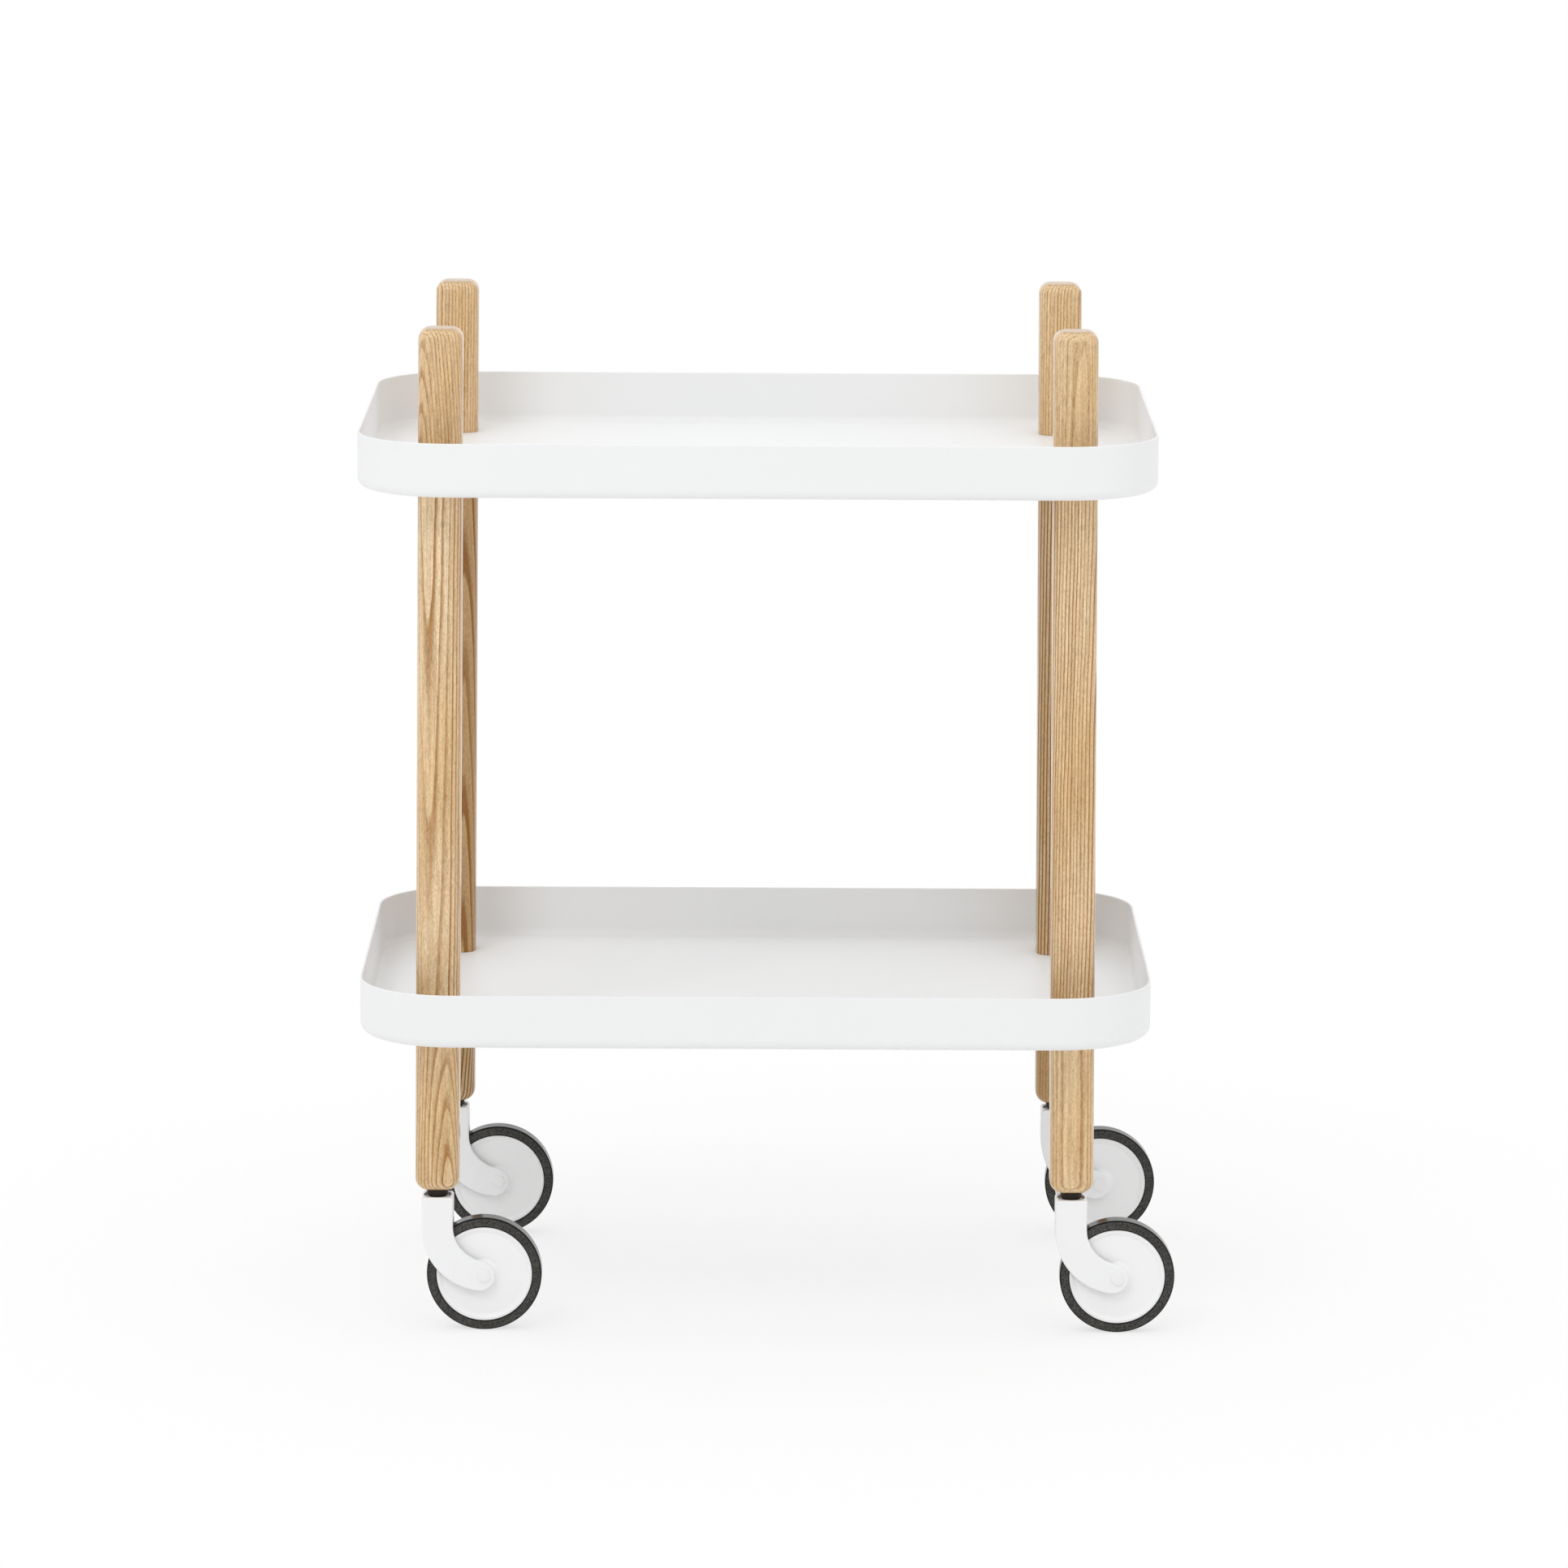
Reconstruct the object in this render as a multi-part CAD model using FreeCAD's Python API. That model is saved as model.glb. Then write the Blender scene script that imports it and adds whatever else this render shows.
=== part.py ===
"""Serving trolley: two steel trays clamped between wooden leg pieces, on four swivel casters."""
import FreeCAD, Part
import math
import os

V = FreeCAD.Vector

# Trays, folded and welded from one sheet, all sizes in millimetres
tray_length = 500.0
tray_depth = 350.0
tray_height = 34.2
tray_corner_radius = 60.0
tray_bend_radius = 6.0
sheet_thickness = 1.5
rim_round = 0.6

# Wooden leg pieces: a finial above the upper tray, a post between the trays, a foot below.
# The insets are from the upper tray's sides to the legs' axes, and each leg stands further
# out by the spread at the lower tray, so the legs lean
leg_inset_x = 52.2
leg_inset_y = 48.5
leg_spread = 2.4
finial_length = 99.1
finial_width = 27.8
finial_crown = 7.0
post_length = 346.2
post_width = 27.8
foot_length = 100.5
foot_width = 27.8
foot_crown = 8.0
leg_corner_radius = 9.0
leg_seat_margin = 0.5
wood_ease = 0.4

# Studs that pull the wood against the trays, and the inserts that they screw into
stud_diameter = 6.0
stud_engagement = 13.0
stud_chamfer = 0.6
stud_hole_clearance = 0.25
thread_clearance = 0.05
insert_wall = 2.0
insert_length = 15.0

# Wheel: a dished core with a rubber tyre locked into its groove
wheel_diameter = 73.0
tyre_thickness = 6.2
tyre_width = 13.0
tyre_shoulder = 1.8
tyre_edge_round = 0.4
tyre_rib_depth = 1.6
tyre_rib_width = 6.0
tyre_stand = 0.6
core_lip = 1.5
core_dish_depth = 1.2
core_dish_run = 2.2
core_dish_round = 1.6
core_lip_round = 0.45
hub_width = 14.6
hub_tip_wall = 1.8
hub_root_wall = 5.2
hub_root_round = 1.6

# Axle, its bush in the hub, and the round caps on its ends
axle_diameter = 6.0
bush_wall = 1.2
running_clearance = 0.05
axle_cap_diameter = 7.8
axle_cap_stand = 1.6
axle_cap_round = 0.35
axle_cap_grip = 2.0
axle_neck_wall = 1.0

# Fork: a cast neck that turns on the stem, and two curved leaves down to the axle
caster_trail = 29.6
fork_rise = 50.5
fork_neck_width = 19.9
fork_leaf = 2.6
fork_side_gap = 0.4
fork_wheel_gap = 3.2
fork_outer_radius = 40.3
fork_inner_radius = 22.9
fork_lobe_radius = 9.6
fork_lobe_set_back = 2.9
fork_lobe_drop = 0.7
fork_edge_round = 1.1
fork_shoulder_round = 2.0

# Stem: fixed in a socket in the foot, and the pin that the fork swivels on
stem_diameter = 8.0
stem_insertion = 30.0
stem_tip = 2.5
stem_chamfer = 0.8
socket_wall = 1.5
socket_end = 2.0
collar_height = 5.2
collar_diameter = 13.6
collar_chamfer = 1.5
collar_bore_clearance = 0.05
collar_sink = 1.0
collar_seat_gap = 0.2
recess_diameter = 17.6
swivel_bush_wall = 1.5
swivel_flange_width = 1.6
swivel_flange_thickness = 1.2
clip_thickness = 1.0
clip_width = 2.6
clip_groove_depth = 0.5
clip_gap = 0.2
clip_room = 1.2
clip_seat_margin = 0.6

# Shared working values
cut_overrun = 1.0
edge_tolerance = 0.001

# Heights, stacked from the floor up
axle_z = wheel_diameter / 2
fork_top = axle_z + fork_rise
collar_base = fork_top - collar_sink
foot_base = collar_base + collar_height
lower_tray_base = foot_base + foot_length
post_base = lower_tray_base + sheet_thickness
upper_tray_base = post_base + post_length
finial_base = upper_tray_base + sheet_thickness
trolley_height = finial_base + finial_length

# Radii and widths that follow from the sizes above
wheel_radius = wheel_diameter / 2
core_radius = wheel_radius - tyre_thickness
axle_radius = axle_diameter / 2
wheel_bush_bore = axle_radius + running_clearance
wheel_bush_radius = wheel_bush_bore + bush_wall
leg_reach_y = tray_depth / 2 - leg_inset_y
leg_slope = leg_spread / (upper_tray_base - lower_tray_base)
fork_gap = hub_width + 2 * fork_side_gap
fork_depth = fork_gap + 2 * fork_leaf
pocket_radius = wheel_radius + fork_wheel_gap
stud_radius = stud_diameter / 2
insert_bore = stud_radius + thread_clearance
insert_radius = insert_bore + insert_wall
stem_radius = stem_diameter / 2
socket_bore = stem_radius + running_clearance
socket_radius = socket_bore + socket_wall
swivel_bore = stem_radius + running_clearance
swivel_bush_radius = swivel_bore + swivel_bush_wall
swivel_flange_radius = swivel_bush_radius + swivel_flange_width
swivel_flange_top = collar_base - collar_seat_gap
recess_floor = swivel_flange_top - swivel_flange_thickness
clip_groove_radius = stem_radius - clip_groove_depth
clip_radius = clip_groove_radius + clip_width
clip_bore_radius = clip_radius + clip_room

# The clip's seat is cut into the neck just above the wheel's pocket
clip_seat_reach = max(pocket_radius ** 2 - (caster_trail - clip_bore_radius) ** 2, 0)
clip_seat = axle_z + math.sqrt(clip_seat_reach) + clip_seat_margin
clip_base = clip_seat - clip_gap - clip_thickness
stem_end = clip_base - stem_tip

# The side of the middle, along X and Y, that each leg stands on
corners = {"fl": (-1, -1), "fr": (1, -1), "bl": (-1, 1), "br": (1, 1)}


def leg_reach(height):
    """How far the legs' axes are from the middle, along X, at one height."""
    return tray_length / 2 - leg_inset_x + leg_slope * (upper_tray_base - height)


# The origin is on the floor, under the middle of the whole trolley's box
reach_right = max(tray_length / 2, leg_reach(foot_base) + caster_trail + wheel_radius)
reach_left = max(tray_length / 2, leg_reach(foot_base) - caster_trail + wheel_radius)
origin_shift = (reach_left - reach_right) / 2


def save(node, shape):
    """Writes one node, moved so that the frame's origin is under the middle of the box."""
    placed = shape.copy()
    placed.translate(V(origin_shift, 0, 0))
    placed.exportStep(os.path.join("parts", node + ".step"))


def at_corner(shape, corner, height):
    """A copy of a piece built on the Z axis, set where one leg's axis is at a height."""
    side, end = corners[corner]
    copy = shape.copy()
    copy.translate(V(side * leg_reach(height), end * leg_reach_y, 0))
    return copy


def at_all_corners(shape, height):
    """The same small piece on every leg, as a group of separate solids."""
    return Part.makeCompound([at_corner(shape, corner, height) for corner in corners])


def rod(radius, low, high):
    """A round rod on the Z axis between two heights."""
    return Part.makeCylinder(radius, high - low, V(0, 0, low))


def tube(outer, inner, low, high):
    """A round tube on the Z axis between two heights."""
    return rod(outer, low, high).cut(rod(inner, low - cut_overrun, high + cut_overrun))


def cross_rod(radius, half_width):
    """A round rod along Y, centred on the caster's axle."""
    return Part.makeCylinder(radius, 2 * half_width, V(caster_trail, -half_width, axle_z), V(0, 1, 0))


def edges_at_height(shape, height):
    """The edges that lie level at one height."""
    return [
        edge for edge in shape.Edges
        if abs(edge.BoundBox.ZMin - height) < edge_tolerance
        and abs(edge.BoundBox.ZMax - height) < edge_tolerance
    ]


def edges_at_side(shape, side):
    """The edges that lie in one plane across the Y axis."""
    return [
        edge for edge in shape.Edges
        if abs(edge.BoundBox.YMin - side) < edge_tolerance
        and abs(edge.BoundBox.YMax - side) < edge_tolerance
    ]


def rings_at(shape, radius, side):
    """The round edges of one radius about the axle, at the same distance on both sides."""
    return [
        edge for edge in edges_at_side(shape, side) + edges_at_side(shape, -side)
        if abs(edge.Curve.Radius - radius) < edge_tolerance
    ]


def upright_edges(shape):
    """The edges that stand straight up."""
    return [
        edge for edge in shape.Edges
        if edge.BoundBox.XLength < edge_tolerance and edge.BoundBox.YLength < edge_tolerance
    ]


def rounded_block(length, depth, corner, low, high):
    """A block centred on the Z axis, with its upright edges rounded."""
    block = Part.makeBox(length, depth, high - low, V(-length / 2, -depth / 2, low))
    return block.makeFillet(corner, upright_edges(block))


def leg_seats(width, floor, tray_base):
    """The outlines that the leg pieces stand on, which stay apart from a tray's free floor."""
    seat = rounded_block(width, width, leg_corner_radius + leg_seat_margin, floor - cut_overrun, floor)
    seats = [at_corner(seat, corner, tray_base) for corner in corners]
    return [face for seat in seats for face in seat.Faces if face.BoundBox.ZMin > floor - edge_tolerance]


def tray(base, leg_width):
    """One tray: a flat floor, a tight bend, upright walls and the holes for the studs."""
    shell = rounded_block(tray_length, tray_depth, tray_corner_radius, base, base + tray_height)
    shell = shell.makeFillet(tray_bend_radius, edges_at_height(shell, base))
    floor = base + sheet_thickness
    inside = rounded_block(
        tray_length - 2 * sheet_thickness,
        tray_depth - 2 * sheet_thickness,
        tray_corner_radius - sheet_thickness,
        floor,
        base + tray_height + cut_overrun,
    )
    inside = inside.makeFillet(tray_bend_radius - sheet_thickness, edges_at_height(inside, floor))
    shell = shell.cut(inside)
    shell = shell.makeFillet(rim_round, edges_at_height(shell, base + tray_height))
    hole = rod(stud_radius + stud_hole_clearance, base - cut_overrun, floor + cut_overrun)
    for corner in corners:
        shell = shell.cut(at_corner(hole, corner, base))
    pieces = shell.generalFuse(leg_seats(leg_width + 2 * leg_seat_margin, floor, base))
    return pieces[0].Solids[0]


def leaning(upright, corner):
    """A piece built upright on the Z axis, set on one leg's leaning axis with its ends still level."""
    side, end = corners[corner]
    shear = FreeCAD.Matrix()
    shear.A13 = -side * leg_slope
    shear.A14 = side * leg_reach(0)
    shear.A24 = end * leg_reach_y
    return upright.transformGeometry(shear)


def bored(wood, corner, radius, low, high, place):
    """A leg piece with an upright bore, set where its leg's axis is at one height."""
    return wood.cut(at_corner(rod(radius, low, high), corner, place))


def finial(corner):
    """The short leg piece that stands in the upper tray, with a rounded top."""
    top = trolley_height
    wood = rounded_block(finial_width, finial_width, leg_corner_radius, finial_base, top)
    wood = wood.makeFillet(finial_crown, edges_at_height(wood, top))
    wood = wood.makeChamfer(wood_ease, edges_at_height(wood, finial_base))
    wood = leaning(wood, corner)
    low = finial_base - cut_overrun
    return bored(wood, corner, insert_radius, low, finial_base + insert_length, upper_tray_base)


def post(corner):
    """The long leg piece between the trays, bored at both ends."""
    wood = rounded_block(post_width, post_width, leg_corner_radius, post_base, upper_tray_base)
    wood = wood.makeChamfer(wood_ease, edges_at_height(wood, post_base))
    wood = wood.makeChamfer(wood_ease, edges_at_height(wood, upper_tray_base))
    wood = leaning(wood, corner)
    low = post_base - cut_overrun
    wood = bored(wood, corner, insert_radius, low, post_base + insert_length, lower_tray_base)
    high = upper_tray_base + cut_overrun
    return bored(wood, corner, insert_radius, upper_tray_base - insert_length, high, upper_tray_base)


def foot(corner):
    """The short leg piece under the lower tray, bored for the caster's socket."""
    wood = rounded_block(foot_width, foot_width, leg_corner_radius, foot_base, lower_tray_base)
    wood = wood.makeFillet(foot_crown, edges_at_height(wood, foot_base))
    wood = wood.makeChamfer(wood_ease, edges_at_height(wood, lower_tray_base))
    wood = leaning(wood, corner)
    high = lower_tray_base + cut_overrun
    wood = bored(wood, corner, insert_radius, lower_tray_base - insert_length, high, lower_tray_base)
    high = foot_base + stem_insertion + socket_end
    return bored(wood, corner, socket_radius, foot_base - cut_overrun, high, foot_base)


def stud(tray_base):
    """A headless stud through a tray's floor, with both ends in an insert."""
    low = tray_base - stud_engagement
    high = tray_base + sheet_thickness + stud_engagement
    body = rod(stud_radius, low, high)
    ends = edges_at_height(body, low) + edges_at_height(body, high)
    return body.makeChamfer(stud_chamfer, ends)


def insert(low):
    """A threaded insert, flush with the end of its wood."""
    return tube(insert_radius, insert_bore, low, low + insert_length)


def socket():
    """The blind socket in the foot that grips the caster's stem."""
    high = foot_base + stem_insertion
    sleeve = rod(socket_radius, foot_base, high + socket_end)
    return sleeve.cut(rod(socket_bore, foot_base - cut_overrun, high))


def stem():
    """The fixed pin of a caster, grooved for the clip that keeps the fork on."""
    high = foot_base + stem_insertion
    pin = rod(stem_radius, stem_end, high)
    pin = pin.makeChamfer(stem_chamfer, edges_at_height(pin, stem_end) + edges_at_height(pin, high))
    groove = tube(stem_radius + cut_overrun, clip_groove_radius, clip_base, clip_base + clip_thickness)
    return pin.cut(groove)


def stem_collar():
    """The bevelled sleeve that fills the gap between the foot and the fork."""
    sleeve = rod(collar_diameter / 2, collar_base, foot_base)
    sleeve = sleeve.makeChamfer(collar_chamfer, edges_at_height(sleeve, collar_base))
    bore = rod(stem_radius + collar_bore_clearance, collar_base - cut_overrun, foot_base + cut_overrun)
    return sleeve.cut(bore)


def stem_clip():
    """The ring in the stem's groove, under the fork's neck."""
    return tube(clip_radius, clip_groove_radius, clip_base, clip_base + clip_thickness)


def swivel_bush():
    """The flanged bush in the fork's neck, which turns on the stem."""
    sleeve = tube(swivel_bush_radius, swivel_bore, clip_seat, recess_floor)
    flange = tube(swivel_flange_radius, swivel_bore, recess_floor, swivel_flange_top)
    return sleeve.fuse(flange).removeSplitter()


def arc(centre, radius, start, end):
    """An arc in the XZ plane between two angles, in radians."""
    def point(angle):
        return V(centre.x + radius * math.cos(angle), 0, centre.z + radius * math.sin(angle))

    return Part.Arc(point(start), point((start + end) / 2), point(end)).toShape()


def fork_outline():
    """The leaf's outline: a straight neck, two bends about nearly one centre and a round lobe."""
    half_neck = fork_neck_width / 2
    lobe = V(caster_trail - fork_lobe_set_back, 0, axle_z - fork_lobe_drop)
    outer_x = fork_outer_radius - half_neck
    outer_reach = fork_outer_radius - fork_lobe_radius
    outer = V(outer_x, 0, lobe.z + math.sqrt(outer_reach ** 2 - (outer_x - lobe.x) ** 2))
    inner_x = fork_inner_radius + half_neck
    inner_reach = fork_inner_radius + fork_lobe_radius
    inner = V(inner_x, 0, lobe.z + math.sqrt(inner_reach ** 2 - (inner_x - lobe.x) ** 2))

    # Where each bend meets the lobe, as an angle about its own centre
    outer_end = math.atan2(lobe.z - outer.z, lobe.x - outer.x)
    inner_end = math.atan2(lobe.z - inner.z, lobe.x - inner.x)
    lobe_end = inner_end + math.pi

    # The rounded shoulders at the top of the neck
    flat = half_neck - fork_shoulder_round
    below = fork_top - fork_shoulder_round
    return Part.Wire([
        Part.LineSegment(V(-half_neck, 0, below), V(-half_neck, 0, outer.z)).toShape(),
        arc(outer, fork_outer_radius, -math.pi, outer_end),
        arc(lobe, fork_lobe_radius, outer_end, lobe_end),
        arc(inner, fork_inner_radius, inner_end, -math.pi),
        Part.LineSegment(V(half_neck, 0, inner.z), V(half_neck, 0, below)).toShape(),
        arc(V(flat, 0, below), fork_shoulder_round, 0, math.pi / 2),
        Part.LineSegment(V(flat, 0, fork_top), V(-flat, 0, fork_top)).toShape(),
        arc(V(-flat, 0, below), fork_shoulder_round, math.pi / 2, math.pi),
    ])


def fork():
    """The fork in one casting: the solid neck, and a leaf on each side of the wheel."""
    side = Part.Face(fork_outline())
    side.translate(V(0, -fork_depth / 2, 0))
    block = side.extrude(V(0, fork_depth, 0))

    # Soft edges all round both outer faces
    sides = edges_at_side(block, -fork_depth / 2) + edges_at_side(block, fork_depth / 2)
    block = block.makeFillet(fork_edge_round, sides)

    # The wheel's pocket, the bush's bore, the dish round the collar and the clip's seat
    block = block.cut(cross_rod(pocket_radius, fork_gap / 2))
    block = block.cut(rod(swivel_bush_radius, clip_seat - cut_overrun, fork_top + cut_overrun))
    block = block.cut(rod(recess_diameter / 2, recess_floor, fork_top + cut_overrun))
    block = block.cut(rod(clip_bore_radius, axle_z, clip_seat))

    # The holes for the axle
    return block.cut(cross_rod(axle_radius, fork_depth))


def axle():
    """The axle between the leaves, stepped down at both ends for its caps."""
    bar = cross_rod(axle_radius, fork_depth / 2)
    core = cross_rod(axle_radius - axle_neck_wall, fork_depth / 2)
    middle = cross_rod(axle_radius, fork_depth / 2 - axle_cap_grip)
    return bar.common(core.fuse(middle)).removeSplitter()


def axle_caps():
    """The two round caps, each pushed over one end of the axle."""
    face = fork_depth / 2
    heads = cross_rod(axle_cap_diameter / 2, face + axle_cap_stand)
    rims = edges_at_side(heads, face + axle_cap_stand) + edges_at_side(heads, -face - axle_cap_stand)
    heads = heads.makeFillet(axle_cap_round, rims)
    heads = heads.cut(cross_rod(axle_cap_diameter, face))
    collars = cross_rod(axle_radius, face).cut(cross_rod(axle_radius, face - axle_cap_grip))
    collars = collars.cut(cross_rod(axle_radius - axle_neck_wall, face))
    return Part.makeCompound(heads.fuse(collars).removeSplitter().Solids)


def wheel_bush():
    """The bush pressed into the hub, which runs on the axle."""
    return cross_rod(wheel_bush_radius, hub_width / 2).cut(cross_rod(wheel_bush_bore, hub_width))


def wheel_core():
    """The core, turned about the axle: hub, dished web, raised lip and the tyre's groove."""
    rim_half = tyre_width / 2 - tyre_stand
    web_half = rim_half - core_dish_depth
    lip_radius = core_radius - core_lip
    dish_radius = lip_radius - core_dish_run
    groove_radius = core_radius - tyre_rib_depth
    one_side = [
        (wheel_bush_radius, hub_width / 2),
        (wheel_bush_radius + hub_tip_wall, hub_width / 2),
        (wheel_bush_radius + hub_root_wall, web_half),
        (dish_radius, web_half),
        (lip_radius, rim_half),
        (core_radius, rim_half),
        (core_radius, tyre_rib_width / 2),
        (groove_radius, tyre_rib_width / 2),
    ]
    other_side = [(radius, -side) for radius, side in reversed(one_side)]
    points = [V(radius, side, 0) for radius, side in one_side + other_side]
    section = Part.Face(Part.makePolygon(points + points[:1]))
    turned = section.revolve(V(0, 0, 0), V(0, 1, 0), math.degrees(2 * math.pi))
    turned.translate(V(caster_trail, 0, axle_z))

    # The lip's edge, the dish's corner and the foot of the hub are softened in turn
    for radius, side, softness in (
        (lip_radius, rim_half, core_lip_round),
        (dish_radius, web_half, core_dish_round),
        (wheel_bush_radius + hub_root_wall, web_half, hub_root_round),
    ):
        turned = turned.makeFillet(softness, rings_at(turned, radius, side))
    return turned


def tyre():
    """The tyre: rounded shoulders outside, and a rib inside that fills the core's groove."""
    half = tyre_width / 2
    ring = cross_rod(wheel_radius, half)
    ring = ring.makeFillet(tyre_shoulder, edges_at_side(ring, half) + edges_at_side(ring, -half))
    ring = ring.cut(cross_rod(core_radius, tyre_width))
    ring = ring.makeFillet(tyre_edge_round, rings_at(ring, core_radius, half))
    rib = cross_rod(core_radius, tyre_rib_width / 2)
    rib = rib.cut(cross_rod(core_radius - tyre_rib_depth, tyre_width))
    return ring.fuse(rib).removeSplitter()


def main():
    """Builds every piece and writes one file for each node."""
    os.makedirs("parts", exist_ok=True)
    save("upper_tray", tray(upper_tray_base, finial_width))
    save("lower_tray", tray(lower_tray_base, post_width))

    # Identical small hardware, one group for each place
    save("upper_studs", at_all_corners(stud(upper_tray_base), upper_tray_base))
    save("lower_studs", at_all_corners(stud(lower_tray_base), lower_tray_base))
    save("finial_inserts", at_all_corners(insert(finial_base), upper_tray_base))
    save("post_top_inserts", at_all_corners(insert(upper_tray_base - insert_length), upper_tray_base))
    save("post_bottom_inserts", at_all_corners(insert(post_base), lower_tray_base))
    save("foot_inserts", at_all_corners(insert(lower_tray_base - insert_length), lower_tray_base))
    save("caster_sockets", at_all_corners(socket(), foot_base))
    save("stem_clips", at_all_corners(stem_clip(), foot_base))

    # The wood of each leg
    for corner in corners:
        save("finial_" + corner, finial(corner))
        save("post_" + corner, post(corner))
        save("foot_" + corner, foot(corner))

    # One of each of these under every leg
    pieces = {
        "caster_stem": stem(),
        "stem_collar": stem_collar(),
        "swivel_bush": swivel_bush(),
        "fork": fork(),
        "axle": axle(),
        "axle_caps": axle_caps(),
        "wheel_bush": wheel_bush(),
        "wheel_core": wheel_core(),
        "tyre": tyre(),
    }
    for corner in corners:
        for name, shape in pieces.items():
            save(name + "_" + corner, at_corner(shape, corner, foot_base))
    print("height", trolley_height, "width", reach_left + reach_right, "depth", tray_depth)
    print("origin shift", origin_shift, "reach at the foot", leg_reach(foot_base))


main()
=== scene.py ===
import bpy
import math
from mathutils import Matrix, Vector


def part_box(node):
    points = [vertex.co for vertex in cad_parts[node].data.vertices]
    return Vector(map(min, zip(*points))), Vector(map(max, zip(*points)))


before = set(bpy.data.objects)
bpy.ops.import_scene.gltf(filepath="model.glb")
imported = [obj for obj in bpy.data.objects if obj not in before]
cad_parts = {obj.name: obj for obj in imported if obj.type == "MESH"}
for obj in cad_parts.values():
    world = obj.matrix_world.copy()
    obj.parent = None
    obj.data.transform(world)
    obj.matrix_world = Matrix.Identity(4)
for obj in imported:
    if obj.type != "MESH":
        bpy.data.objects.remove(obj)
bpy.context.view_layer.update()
print("trolley: frame loaded,", len(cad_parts), "nodes")

legNames = ("fl", "fr", "bl", "br")  # front left, front right, back left, back right

# Camera: a long lens, well back and a little above the upper tray
cameraSet = {
    "lens": 170.0,  # mm
    "sensor": 36.0,  # mm
    "place": (-0.00473, -4.6968, 1.2043),
    "tilt": 10.556,  # degrees down
    "pan": 0.170,  # degrees to the right
    "roll": 0.314,  # degrees, the right side up
}


def makeCamera():
    data = bpy.data.cameras.new("photoCamera")
    data.lens = cameraSet["lens"]
    data.sensor_width = cameraSet["sensor"]
    camera = bpy.data.objects.new("photoCamera", data)
    bpy.context.scene.collection.objects.link(camera)
    turn = Matrix.Rotation(-math.radians(cameraSet["pan"]), 4, "Z")
    turn = turn @ Matrix.Rotation(math.radians(90 - cameraSet["tilt"]), 4, "X")
    turn = turn @ Matrix.Rotation(math.radians(cameraSet["roll"]), 4, "Z")
    camera.matrix_world = Matrix.Translation(cameraSet["place"]) @ turn
    bpy.context.scene.camera = camera


# Small helpers for building materials: a socket or a plain value goes in, a socket comes out

noiseSpan = (0.3, 0.7)  # nearly all of a noise lies between these
softSpan = (0.35, 0.65)


def newMaterial(name):
    material = bpy.data.materials.new(name)
    material.use_nodes = True
    tree = material.node_tree
    tree.nodes.clear()
    return material, tree


def plug(tree, socket, value):
    if hasattr(value, "is_output"):
        tree.links.new(value, socket)
    else:
        socket.default_value = value


def addNode(tree, kind, inputs=None, **settings):
    node = tree.nodes.new(kind)
    for key, value in settings.items():
        setattr(node, key, value)
    for key, value in (inputs or {}).items():
        plug(tree, node.inputs[key], value)
    return node


def maths(tree, operation, first, second=0.0, third=0.0):
    inputs = {0: first, 1: second, 2: third}
    return addNode(tree, "ShaderNodeMath", inputs, operation=operation).outputs[0]


def vectors(tree, operation, inputs):
    return addNode(tree, "ShaderNodeVectorMath", inputs, operation=operation).outputs[0]


def splitAxes(tree, place):
    return addNode(tree, "ShaderNodeSeparateXYZ", {0: place}).outputs


def noise(tree, place, scale, detail=2.0, roughness=0.5):
    inputs = {"Vector": place, "Scale": scale, "Detail": detail, "Roughness": roughness}
    return addNode(tree, "ShaderNodeTexNoise", inputs).outputs["Fac"]


def stretchedNoise(tree, place, stretch, detail=2.0, roughness=0.5):
    return noise(tree, vectors(tree, "MULTIPLY", {0: place, 1: stretch}), 1.0, detail, roughness)


def between(tree, value, low, high, newLow, newHigh):
    inputs = {"Value": value, "From Min": low, "From Max": high, "To Min": newLow, "To Max": newHigh}
    return addNode(tree, "ShaderNodeMapRange", inputs).outputs["Result"]


def mixColours(tree, factor, first, second, blend="MIX"):
    node = addNode(tree, "ShaderNodeMix", data_type="RGBA", blend_type=blend)
    for socket, value in zip((node.inputs[0], node.inputs[6], node.inputs[7]), (factor, first, second)):
        plug(tree, socket, value)
    return node.outputs[2]


def ownPlace(tree, centre=(0.0, 0.0, 0.0)):
    coordinates = addNode(tree, "ShaderNodeTexCoord").outputs["Object"]
    return vectors(tree, "SUBTRACT", {0: coordinates, 1: centre})


def facingAlong(tree, axis):
    facing = addNode(tree, "ShaderNodeTexCoord").outputs["Normal"]
    return maths(tree, "ABSOLUTE", splitAxes(tree, facing)[axis])


def finishSurface(tree, inputs):
    shader = addNode(tree, "ShaderNodeBsdfPrincipled", inputs)
    output = addNode(tree, "ShaderNodeOutputMaterial")
    tree.links.new(shader.outputs[0], output.inputs["Surface"])


def bump(tree, height, distance, strength=1.0, under=None):
    inputs = {"Height": height, "Distance": distance, "Strength": strength}
    if under:
        inputs["Normal"] = under
    return addNode(tree, "ShaderNodeBump", inputs).outputs[0]


# Powder coat: a fine orange peel, faint clouds in the white and a satin shine
enamelSet = {
    "colour": (0.896, 0.902, 0.906, 1),
    "cloudColour": (0.887, 0.893, 0.898, 1),
    "cloudScale": 9.0,
    "peelScale": 420.0,
    "peelDepth": 0.00003,
    "grainScale": 2600.0,
    "grainDepth": 0.000008,
    "roughness": (0.34, 0.44),
    "shine": 0.5,
}

# The forks are cast, with a finer and glossier coat; their white is painted lighter than the trays' to make up for the
# dimmer light low down near the floor
lightenedCastSet = {
    **enamelSet,
    "colour": (0.932, 0.936, 0.938, 1),
    "cloudColour": (0.932, 0.936, 0.938, 1),
    "peelScale": 700.0,
    "roughness": (0.28, 0.38),
}


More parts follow.
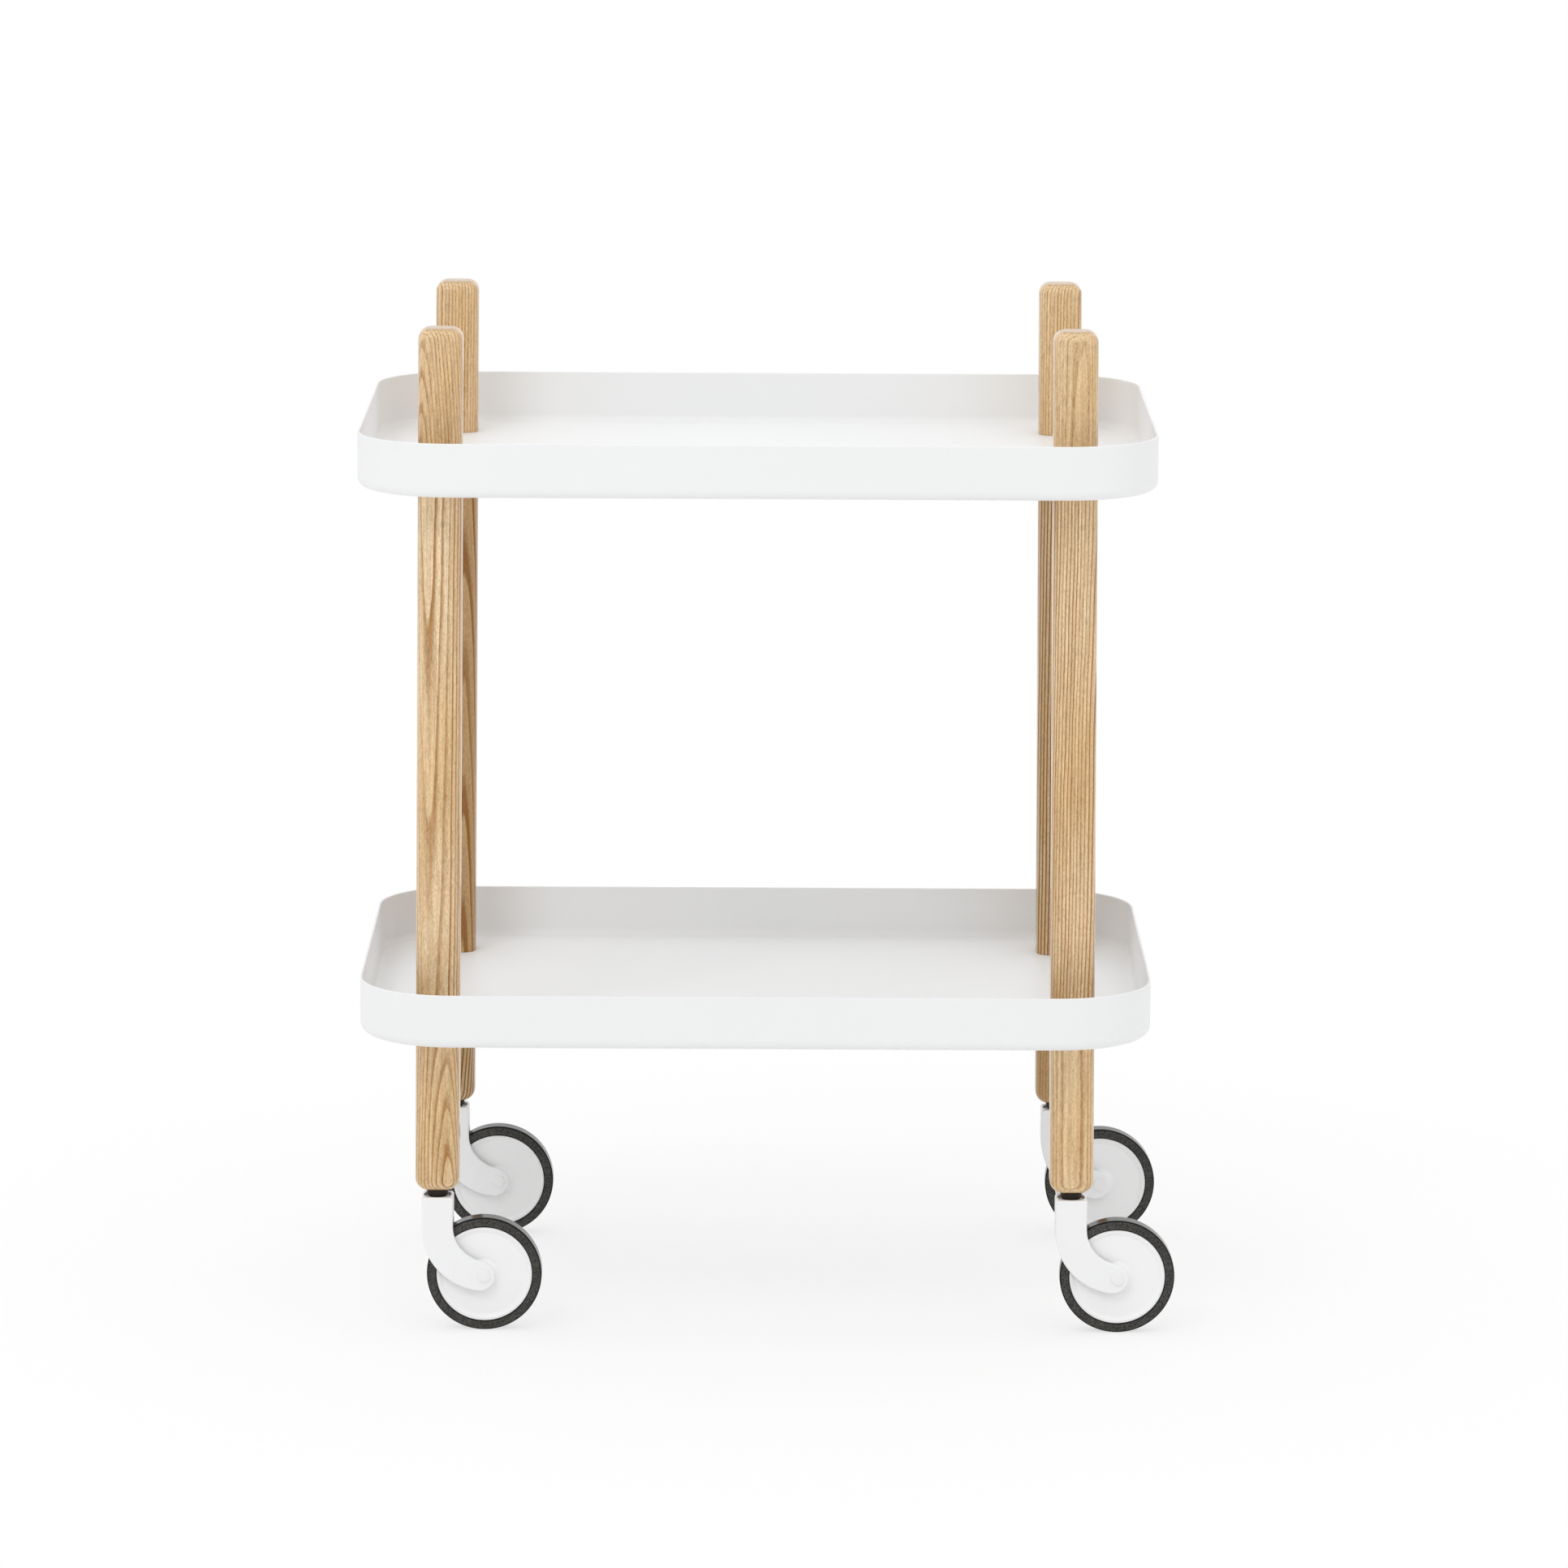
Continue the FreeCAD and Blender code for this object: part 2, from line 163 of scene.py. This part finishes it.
def makeEnamel(name, values):
    material, tree = newMaterial(name)
    place = ownPlace(tree)
    clouds = noise(tree, place, values["cloudScale"], 4.0)
    clouds = between(tree, clouds, *softSpan, 0.0, 1.0)
    peel = noise(tree, place, values["peelScale"], 1.0)
    grain = noise(tree, place, values["grainScale"], 1.0)
    normal = bump(tree, peel, values["peelDepth"])
    normal = bump(tree, grain, values["grainDepth"], under=normal)
    finishSurface(tree, {
        "Base Color": mixColours(tree, clouds, values["colour"], values["cloudColour"]),
        "Roughness": between(tree, peel, *noiseSpan, *values["roughness"]),
        "Specular IOR Level": values["shine"],
        "Normal": normal,
    })
    return material


# Ash: rings about a leaning pith, so each piece shows its own lines, arches or plain band
ashSet = {
    "light": (0.945, 0.748, 0.490, 1),
    "middle": (0.840, 0.592, 0.315, 1),
    "line": (0.370, 0.150, 0.015, 1),
    "pore": (0.270, 0.115, 0.020, 1),
    # The brown colours the fibres, and also serves as painted shade at the ends and over the back pieces
    "brownAndShade": (0.450, 0.255, 0.090, 1),
    "endGrainAndShade": (0.72, 0.65, 0.57, 1),  # multiplies the colour where the wood is cut across: partly the end grain's own darker tone, partly painted shade that darkens the brightly lit tops
    "roughness": (0.38, 0.55),
    "shine": 0.10,
    "coat": 0.75,
    "coatRoughness": 0.09,
}

# How the rings run, and how much of each line shows
ringSet = {
    "waveStretch": (1.0, 1.0, 0.22),  # the rings wander less along the leg than across it
    "waveScale": 45.0,
    "unevenStretch": (60.0, 60.0, 5.0),
    "uneven": 0.9,  # share of a ring
    "years": (0.55, 1.0),  # the faintest and the strongest year
    "profile": ((0.07, 1.0), (0.24, 0.80), (0.44, 0.15)),  # place in the ring, darkness
    "flatUntil": 0.30,
    "endsFrom": 0.45,
    "endsUntil": 0.95,
    "onEnds": 0.42,  # what is left of the lines on the end grain
}

# Pores, fibres, clouds and flecks: how they stretch along the grain, and how much they change
grainSet = {
    "poreStretch": (900.0, 900.0, 190.0),
    "poreEdges": (0.50, 0.66),
    "poreEverywhere": 0.25,
    "poreInLines": 0.65,
    "poreDarkness": 0.75,
    "fibreStretch": (600.0, 600.0, 22.0),
    "fibreEdges": (0.35, 0.7),
    "fibreBrown": 0.5,
    "fibreRelief": 0.35,
    "cloudStretch": (28.0, 28.0, 9.0),
    "fleckStretch": (1500.0, 1500.0, 520.0),
    "flecks": (0.86, 1.14),
    "endShadeFrom": 0.55,  # share of the half length, from the middle, where the painted shade at the ends begins
    "stainAndShadeEdges": (0.36, 0.60),
    "cutFrom": 0.75,  # how far up the surface looks where the end grain starts
    "cutUntil": 0.98,
    "reliefDepth": 0.00002,
    "relief": 0.7,
}

# What a leg piece has where its own row below says nothing else
plainPiece = {
    "lean": (0.0, 0.0),  # of the pith, mm per 100 mm
    "start": 0.0,  # of the first ring, 0 to 1
    "lineShade": 1.0,  # how dark the lines stay: below 1, on the back pieces, it is painted shade
    "flat": 0.8,  # what is left of a line where the saw ran along it
    # Brown over the whole piece: on the back pieces partly painted shade, on the front ones the wood's own tone
    "brownAndShade": 0.0,
    "ends": (0.0, 0.0),  # how brown the top and the bottom get: painted shade near the trays, on some finials also the wood's own brown flame
}

# Each piece: the pith's place (mm from its middle), the rings' width (mm), how far they wander (mm), how strongly they show
ashPieces = {
    "finial_fl": {"pith": (-24.0, -23.1), "lean": (-1.0, -14.0), "ring": 2.1, "start": 0.35, "wave": 0.9, "show": 0.78,
                  "flat": 0.5, "brownAndShade": 0.05, "ends": (0.0, 0.5)},
    "finial_fr": {"pith": (3.4, -29.0), "lean": (0.0, -1.2), "ring": 2.0, "start": 0.70, "wave": 0.5, "show": 0.60,
                  "flat": 0.45, "ends": (0.0, 0.7)},
    "finial_bl": {"pith": (60.0, 10.0), "lean": (1.5, 0.0), "ring": 2.0, "wave": 1.1, "show": 0.95,
                  "brownAndShade": 0.05, "ends": (0.1, 0.3)},
    "finial_br": {"pith": (-24.0, 0.0), "lean": (0.5, 0.0), "ring": 2.0, "wave": 0.9, "show": 0.85, "ends": (0.0, 0.2)},
    "post_fl": {"pith": (-11.5, -41.0), "lean": (-1.0, 2.3), "ring": 2.7, "wave": 0.8, "show": 1.1,
                "flat": 0.4, "ends": (1.0, 0.8)},
    "post_fr": {"pith": (-75.0, 10.0), "lean": (1.2, 0.0), "ring": 2.1, "wave": 1.2, "show": 1.3, "ends": (1.0, 1.0)},
    "post_bl": {"pith": (6.0, -30.0), "lean": (1.0, -5.0), "ring": 4.6, "wave": 2.0, "show": 1.5, "lineShade": 0.75,
                "flat": 1.0, "brownAndShade": 0.8, "ends": (0.5, 0.4)},
    "post_br": {"pith": (-60.0, 0.0), "lean": (0.4, 0.0), "ring": 2.3, "wave": 0.6, "show": 2.0, "lineShade": 0.55,
                "brownAndShade": 0.40, "ends": (0.0, 0.3)},
    "foot_fl": {"pith": (8.5, -27.4), "lean": (-3.0, -8.2), "ring": 2.2, "start": 0.20, "wave": 0.6, "show": 1.0,
                "flat": 0.65, "brownAndShade": 0.05, "ends": (0.2, 0.0)},
    "foot_fr": {"pith": (-0.3, -32.0), "ring": 2.6, "start": 0.30, "wave": 0.5, "show": 0.75, "flat": 0.4},
    "foot_bl": {"pith": (36.0, 8.0), "lean": (10.0, 0.0), "ring": 2.4, "wave": 1.2, "show": 2.0, "lineShade": 0.5,
                "brownAndShade": 0.45, "ends": (0.3, 0.0)},
    "foot_br": {"pith": (-45.0, 10.0), "lean": (3.0, 0.0), "ring": 2.2, "wave": 1.2, "show": 0.9, "lineShade": 0.8,
                "brownAndShade": 0.8, "ends": (0.2, 0.2)},
}


def offPith(tree, axis, height, pith, lean):
    leaning = maths(tree, "MULTIPLY_ADD", height, -lean / 100, axis)
    return maths(tree, "SUBTRACT", leaning, pith / 1000)


def length(tree, first, second):
    squares = maths(tree, "ADD", maths(tree, "POWER", first, 2.0), maths(tree, "POWER", second, 2.0))
    return maths(tree, "SQRT", squares)


def ringLines(tree, place, cut):
    # Slow waves push the rings about
    slow = vectors(tree, "MULTIPLY", {0: place, 1: ringSet["waveStretch"]})
    wave = addNode(tree, "ShaderNodeTexNoise", {"Vector": slow, "Scale": ringSet["waveScale"], "Detail": 2.0})
    wave = vectors(tree, "SUBTRACT", {0: wave.outputs["Color"], 1: (0.5, 0.5, 0.5)})
    wave = vectors(tree, "SCALE", {0: wave, "Scale": cut["wave"] / 1000 * 2})
    axes = splitAxes(tree, vectors(tree, "ADD", {0: place, 1: wave}))
    across = offPith(tree, axes["X"], axes["Z"], cut["pith"][0], cut["lean"][0])
    behind = offPith(tree, axes["Y"], axes["Z"], cut["pith"][1], cut["lean"][1])
    radius = length(tree, across, behind)
    rings = maths(tree, "DIVIDE", radius, cut["ring"] / 1000)
    uneven = stretchedNoise(tree, place, ringSet["unevenStretch"])
    rings = maths(tree, "MULTIPLY_ADD", uneven, ringSet["uneven"], maths(tree, "ADD", rings, cut["start"]))

    # Early wood: a dark porous line that fades into the pale late wood, stronger in some years
    profile = addNode(tree, "ShaderNodeValToRGB", {"Fac": maths(tree, "FRACT", rings)})
    ramp = profile.color_ramp
    for end in ramp.elements:
        end.color = (0, 0, 0, 1)
    for position, level in ringSet["profile"]:
        ramp.elements.new(position).color = (level, level, level, 1)
    year = {"W": maths(tree, "FLOOR", rings)}
    strength = addNode(tree, "ShaderNodeTexWhiteNoise", year, noise_dimensions="1D").outputs["Value"]
    strength = between(tree, strength, 0.0, 1.0, *ringSet["years"])
    early = maths(tree, "MULTIPLY", profile.outputs["Color"], strength)

    # Where the saw ran along a ring, its line is broad and faint
    steep = maths(tree, "DIVIDE", maths(tree, "ABSOLUTE", across), radius)
    return maths(tree, "MULTIPLY", early, between(tree, steep, 0.0, ringSet["flatUntil"], cut["flat"], 1.0))


def makeAsh(name, cut):
    low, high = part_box(name)
    material, tree = newMaterial("ash_" + name)
    place = ownPlace(tree, (low + high) / 2)
    halfLength = (high.z - low.z) / 2

    # The lacquered end grain is plainer, and darker: partly its own tone, partly painted shade on the tops and bottoms
    upright = facingAlong(tree, "Z")
    side = between(tree, upright, ringSet["endsFrom"], ringSet["endsUntil"], 1.0, ringSet["onEnds"])
    endGrainAndShadeMask = between(tree, upright, grainSet["cutFrom"], grainSet["cutUntil"], 0.0, 1.0)
    early = maths(tree, "MULTIPLY", ringLines(tree, place, cut), side)

    # Short pores run along the grain and crowd into the early wood
    streaks = stretchedNoise(tree, place, grainSet["poreStretch"], 2.0, 0.6)
    pores = between(tree, streaks, *grainSet["poreEdges"], 0.0, 1.0)
    share = maths(tree, "MULTIPLY_ADD", early, grainSet["poreInLines"], grainSet["poreEverywhere"])
    pores = maths(tree, "MULTIPLY", maths(tree, "MULTIPLY", pores, share), side)
    fibre = stretchedNoise(tree, place, grainSet["fibreStretch"], 3.0)
    cloud = stretchedNoise(tree, place, grainSet["cloudStretch"], 3.0)
    fleck = stretchedNoise(tree, place, grainSet["fleckStretch"], 1.0)

    # Pale ground, browner along some fibres, with painted shade in patches towards the ends
    ground = mixColours(tree, between(tree, cloud, *noiseSpan, 0.0, 1.0), ashSet["light"], ashSet["middle"])
    browning = between(tree, fibre, *grainSet["fibreEdges"], 0.0, grainSet["fibreBrown"])
    ground = mixColours(tree, browning, ground, ashSet["brownAndShade"])
    along = maths(tree, "DIVIDE", splitAxes(tree, place)["Z"], halfLength)
    # Painted shade towards the ends, where the pieces meet the trays, broken up by the clouds; on some finials it also
    # stands for the wood's brown flame
    top = between(tree, along, grainSet["endShadeFrom"], 1.0, 0.0, cut["ends"][0])
    bottom = between(tree, along, -grainSet["endShadeFrom"], -1.0, 0.0, cut["ends"][1])
    shadePatches = between(tree, cloud, *grainSet["stainAndShadeEdges"], 0.0, 1.0)
    stainAndShade = maths(tree, "MULTIPLY", maths(tree, "ADD", top, bottom), shadePatches)
    # Brown over the back pieces is partly painted shade, and the ends' painted shade is mixed in here too
    ground = mixColours(tree, maths(tree, "MAXIMUM", stainAndShade, cut["brownAndShade"]), ground, ashSet["brownAndShade"])

    # The back pieces' lines are darkened as painted shade
    line = tuple(channel * cut["lineShade"] for channel in ashSet["line"][:3]) + (1,)
    shown = maths(tree, "MINIMUM", maths(tree, "MULTIPLY", early, cut["show"]), 1.0)
    colour = mixColours(tree, shown, ground, line)
    colour = mixColours(tree, maths(tree, "MULTIPLY", pores, grainSet["poreDarkness"]), colour, ashSet["pore"])
    # Painted shade, together with the end grain's own darker tone, on the faces that look up or down
    colour = mixColours(tree, endGrainAndShadeMask, colour, ashSet["endGrainAndShade"], "MULTIPLY")
    flecks = between(tree, fleck, *noiseSpan, *grainSet["flecks"])
    colour = vectors(tree, "SCALE", {0: colour, "Scale": flecks})

    raised = maths(tree, "MULTIPLY", fibre, grainSet["fibreRelief"])
    relief = maths(tree, "ADD", maths(tree, "MULTIPLY", pores, -1.0), raised)
    finishSurface(tree, {
        "Base Color": colour,
        "Roughness": between(tree, fibre, *noiseSpan, *ashSet["roughness"]),
        "Specular IOR Level": ashSet["shine"],
        "Coat Weight": ashSet["coat"],
        "Coat Roughness": ashSet["coatRoughness"],
        "Normal": bump(tree, relief, grainSet["reliefDepth"], grainSet["relief"]),
    })
    return material


# Rubber of the tyres: a charcoal side with a dusty bloom, painted shade lines round it and a glossy tread
rubberSet = {
    "colour": (0.014, 0.013, 0.011, 1),
    "bloom": (0.078, 0.075, 0.067, 1),
    "bloomScale": 55.0,
    "bloomEdges": (0.38, 0.68),
    "bloomShare": (0.1, 0.5),
    "speckEdges": (0.38, 0.62),
    "specks": (-0.3, 0.7),
    # Painted shade: near black for the lines where the side meets the core and at the shoulder
    "shadeLine": (0.003, 0.003, 0.002, 1),
    "shadeLineRadii": ((30.6, 0.30), (36.1, 0.35)),  # mm: middle and half width
    "shadeLineBlur": 0.2,  # mm
    "shadeLineRoughness": 0.95,
    "grainScale": 1300.0,
    "grainDepth": 0.00004,
    "roughness": (0.50, 0.66),
    "shine": 0.35,
    "treadFacing": (0.25, 0.60),  # how far sideways the surface looks where the tread ends
    "treadRoughness": 0.20,
    "treadCoat": 0.8,
    "coatRoughness": 0.12,
}


def makeRubber(name):
    low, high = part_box(name)
    material, tree = newMaterial("rubber_" + name)
    place = ownPlace(tree, (low + high) / 2)
    grain = noise(tree, place, rubberSet["grainScale"], 2.0)
    bloom = noise(tree, place, rubberSet["bloomScale"], 5.0, 0.6)
    bloom = between(tree, bloom, *rubberSet["bloomEdges"], *rubberSet["bloomShare"])
    specks = between(tree, grain, *rubberSet["speckEdges"], *rubberSet["specks"])
    dusty = maths(tree, "MAXIMUM", maths(tree, "ADD", bloom, specks), 0.0)
    colour = mixColours(tree, dusty, rubberSet["colour"], rubberSet["bloom"])

    # Painted shade lines at set distances from the axle: where the side meets the core, and at the shoulder
    axes = splitAxes(tree, place)
    radius = length(tree, axes["X"], axes["Z"])
    shadeLine = 0.0
    for middle, half in rubberSet["shadeLineRadii"]:
        off = maths(tree, "ABSOLUTE", maths(tree, "SUBTRACT", radius, middle / 1000))
        edge = between(tree, off, half / 1000, (half + rubberSet["shadeLineBlur"]) / 1000, 1.0, 0.0)
        shadeLine = maths(tree, "MAXIMUM", edge, shadeLine)
    # The painted shade lines darken the colour here
    colour = mixColours(tree, shadeLine, colour, rubberSet["shadeLine"])

    tread = between(tree, facingAlong(tree, "Y"), *rubberSet["treadFacing"], 1.0, 0.0)
    rough = between(tree, grain, *noiseSpan, *rubberSet["roughness"])
    smoother = maths(tree, "SUBTRACT", rubberSet["treadRoughness"], rough)
    rough = maths(tree, "MULTIPLY_ADD", smoother, tread, rough)
    rough = maths(tree, "MAXIMUM", rough, maths(tree, "MULTIPLY", shadeLine, rubberSet["shadeLineRoughness"]))
    finishSurface(tree, {
        "Base Color": colour,
        "Roughness": rough,
        "Specular IOR Level": rubberSet["shine"],
        "Coat Weight": maths(tree, "MULTIPLY", tread, rubberSet["treadCoat"]),
        "Coat Roughness": rubberSet["coatRoughness"],
        "Normal": bump(tree, grain, rubberSet["grainDepth"]),
    })
    return material


# Moulded plastics: a fine spark-eroded texture, and slight flow clouds in the colour
plasticSets = {
    "coreWhite": {
        "colour": (0.955, 0.957, 0.957, 1), "cloud": (0.945, 0.947, 0.947, 1),
        "roughness": (0.30, 0.42), "grain": 0.000012, "shine": 0.5,
    },
    "capWhite": {
        "colour": (0.925, 0.925, 0.922, 1), "cloud": (0.910, 0.910, 0.907, 1),
        "roughness": (0.28, 0.38), "grain": 0.000008, "shine": 0.5,
    },
    "collarBlack": {
        "colour": (0.014, 0.011, 0.008, 1), "cloud": (0.034, 0.026, 0.020, 1),
        "roughness": (0.38, 0.55), "grain": 0.00002, "shine": 0.15,
    },
    "bushNylon": {
        "colour": (0.780, 0.765, 0.700, 1), "cloud": (0.730, 0.710, 0.640, 1),
        "roughness": (0.38, 0.52), "grain": 0.00002, "shine": 0.5,
    },
}

mouldSet = {
    "cloudScale": 70.0,
    "grainScale": 1400.0,
}


def makePlastic(name, values):
    material, tree = newMaterial(name)
    place = ownPlace(tree)
    cloud = between(tree, noise(tree, place, mouldSet["cloudScale"], 4.0), *softSpan, 0.0, 1.0)
    grain = noise(tree, place, mouldSet["grainScale"], 2.0)
    finishSurface(tree, {
        "Base Color": mixColours(tree, cloud, values["colour"], values["cloud"]),
        "Roughness": between(tree, grain, *noiseSpan, *values["roughness"]),
        "Specular IOR Level": values["shine"],
        "Normal": bump(tree, grain, values["grain"]),
    })
    return material


# Turned metals: fine rings round each piece, and a patchy stain
metalSets = {
    "zincSteel": {
        "colour": (0.560, 0.570, 0.585, 1), "stainAndShade": (0.430, 0.435, 0.440, 1), "roughness": (0.26, 0.42),
    },
    "springSteel": {
        "colour": (0.180, 0.185, 0.200, 1), "stainAndShade": (0.090, 0.090, 0.100, 1), "roughness": (0.30, 0.45),
    },
    "turnedBrass": {
        "colour": (0.700, 0.520, 0.235, 1), "stainAndShade": (0.520, 0.360, 0.150, 1), "roughness": (0.22, 0.38),
    },
}

turningSet = {
    "stretch": (12.0, 12.0, 5200.0),
    "depth": 0.00001,
    "stainScale": 160.0,
    "stainAndShadeEdges": (0.40, 0.66),
}


def makeMetal(name, values):
    material, tree = newMaterial(name)
    place = ownPlace(tree)
    turning = stretchedNoise(tree, place, turningSet["stretch"])
    stainAndShade = noise(tree, place, turningSet["stainScale"], 5.0)
    stainAndShade = between(tree, stainAndShade, *turningSet["stainAndShadeEdges"], 0.0, 1.0)
    finishSurface(tree, {
        "Base Color": mixColours(tree, stainAndShade, values["colour"], values["stainAndShade"]),
        "Metallic": 1.0,
        "Roughness": between(tree, turning, *noiseSpan, *values["roughness"]),
        "Normal": bump(tree, turning, turningSet["depth"]),
    })
    return material


def dress(node, material):
    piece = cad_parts[node]
    piece.data.materials.clear()
    piece.data.materials.append(material)


def dressTrolley():
    enamel = makeEnamel("trayEnamel", enamelSet)
    # The forks' enamel is a lighter copy of the trays' white: painted light
    lightenedCastEnamel = makeEnamel("forkEnamelLightened", lightenedCastSet)
    plastics = {name: makePlastic(name, values) for name, values in plasticSets.items()}
    metals = {name: makeMetal(name, values) for name, values in metalSets.items()}
    for node in ("upper_tray", "lower_tray"):
        dress(node, enamel)
    for node in ("upper_studs", "lower_studs", "caster_sockets"):
        dress(node, metals["zincSteel"])
    for node in ("finial_inserts", "post_top_inserts", "post_bottom_inserts", "foot_inserts"):
        dress(node, metals["turnedBrass"])
    dress("stem_clips", metals["springSteel"])
    for node, cut in ashPieces.items():
        dress(node, makeAsh(node, {**plainPiece, **cut}))
    for leg in legNames:
        dress("fork_" + leg, lightenedCastEnamel)
        dress("caster_stem_" + leg, metals["zincSteel"])
        dress("axle_" + leg, metals["zincSteel"])
        dress("axle_caps_" + leg, plastics["capWhite"])
        dress("stem_collar_" + leg, plastics["collarBlack"])
        dress("swivel_bush_" + leg, plastics["bushNylon"])
        dress("wheel_bush_" + leg, plastics["bushNylon"])
        dress("wheel_core_" + leg, plastics["coreWhite"])
        dress("tyre_" + leg, makeRubber("tyre_" + leg))


# Studio floor: pale, and blended into white away from the trolley
floorSet = {
    "size": 60.0,
    "colour": (0.92, 0.92, 0.92, 1),
    "shadow": 0.34,  # how much of the trolley's shadow shows under it
    "shadowReach": (0.30, 0.75),
}

# White surround: its light grows from the horizon to overhead
surroundSet = {
    "horizon": 0.56,
    "overhead": 1.21,
}

# A long lamp that draws a line on the lacquer, and a soft fill, both aimed at the trolley's middle
lampAim = (0, 0, 0.35)
lampSets = {
    "keyLamp": {"place": (-1.6, -2.5, 3.1), "size": (1.3, 0.40), "power": 17.0},
    "fillLamp": {"place": (2.6, -2.4, 1.6), "size": (2.2, 2.2), "power": 3.0},
}


def seenDirectly(tree):
    rays = addNode(tree, "ShaderNodeLightPath").outputs
    seen = maths(tree, "MAXIMUM", rays["Is Camera Ray"], rays["Is Glossy Ray"])
    return maths(tree, "MAXIMUM", seen, rays["Is Transmission Ray"])


def makeFloor():
    half = floorSet["size"] / 2
    corners = [(-half, -half, 0), (half, -half, 0), (half, half, 0), (-half, half, 0)]
    mesh = bpy.data.meshes.new("studioFloor")
    mesh.from_pydata(corners, [], [(0, 1, 2, 3)])
    floor = bpy.data.objects.new("studioFloor", mesh)
    bpy.context.scene.collection.objects.link(floor)
    material, tree = newMaterial("studioFloor")
    matt = addNode(tree, "ShaderNodeBsdfDiffuse", {"Color": floorSet["colour"]})
    white = addNode(tree, "ShaderNodeEmission", {"Color": (1, 1, 1, 1), "Strength": 1.0})
    place = addNode(tree, "ShaderNodeTexCoord").outputs["Object"]
    away = addNode(tree, "ShaderNodeVectorMath", {0: place}, operation="LENGTH").outputs["Value"]
    clear = between(tree, away, *floorSet["shadowReach"], 1 - floorSet["shadow"], 1.0)
    share = maths(tree, "MULTIPLY", seenDirectly(tree), clear)
    mix = addNode(tree, "ShaderNodeMixShader", {0: share, 1: matt.outputs[0], 2: white.outputs[0]})

    # Its underside is clear, so that the trolley can be looked at from below
    under = addNode(tree, "ShaderNodeNewGeometry").outputs["Backfacing"]
    clearUnder = addNode(tree, "ShaderNodeBsdfTransparent")
    shown = addNode(tree, "ShaderNodeMixShader", {0: under, 1: mix.outputs[0], 2: clearUnder.outputs[0]})
    output = addNode(tree, "ShaderNodeOutputMaterial")
    tree.links.new(shown.outputs[0], output.inputs["Surface"])
    mesh.materials.append(material)


def makeSurround():
    world = bpy.data.worlds.new("whiteStudio")
    bpy.context.scene.world = world
    world.use_nodes = True
    tree = world.node_tree
    tree.nodes.clear()
    direction = addNode(tree, "ShaderNodeTexCoord").outputs["Generated"]
    height = splitAxes(tree, direction)["Z"]
    light = between(tree, height, 0.0, 1.0, surroundSet["horizon"], surroundSet["overhead"])
    strength = between(tree, seenDirectly(tree), 0.0, 1.0, light, 1.0)
    background = addNode(tree, "ShaderNodeBackground", {"Color": (1, 1, 1, 1), "Strength": strength})
    output = addNode(tree, "ShaderNodeOutputWorld")
    tree.links.new(background.outputs[0], output.inputs["Surface"])


def makeLamp(name, values):
    data = bpy.data.lights.new(name, "AREA")
    data.shape = "RECTANGLE"
    data.size, data.size_y = values["size"]
    data.energy = values["power"]
    lamp = bpy.data.objects.new(name, data)
    bpy.context.scene.collection.objects.link(lamp)
    aim = (Vector(lampAim) - Vector(values["place"])).to_track_quat("-Z", "Y")
    lamp.matrix_world = Matrix.Translation(values["place"]) @ aim.to_matrix().to_4x4()


def makeStudio():
    makeFloor()
    makeSurround()
    for name, values in lampSets.items():
        makeLamp(name, values)
    bpy.context.scene.view_settings.view_transform = "Standard"


makeCamera()
print("trolley: camera set")
dressTrolley()
print("trolley: pieces dressed")
makeStudio()
print("trolley: studio lit")
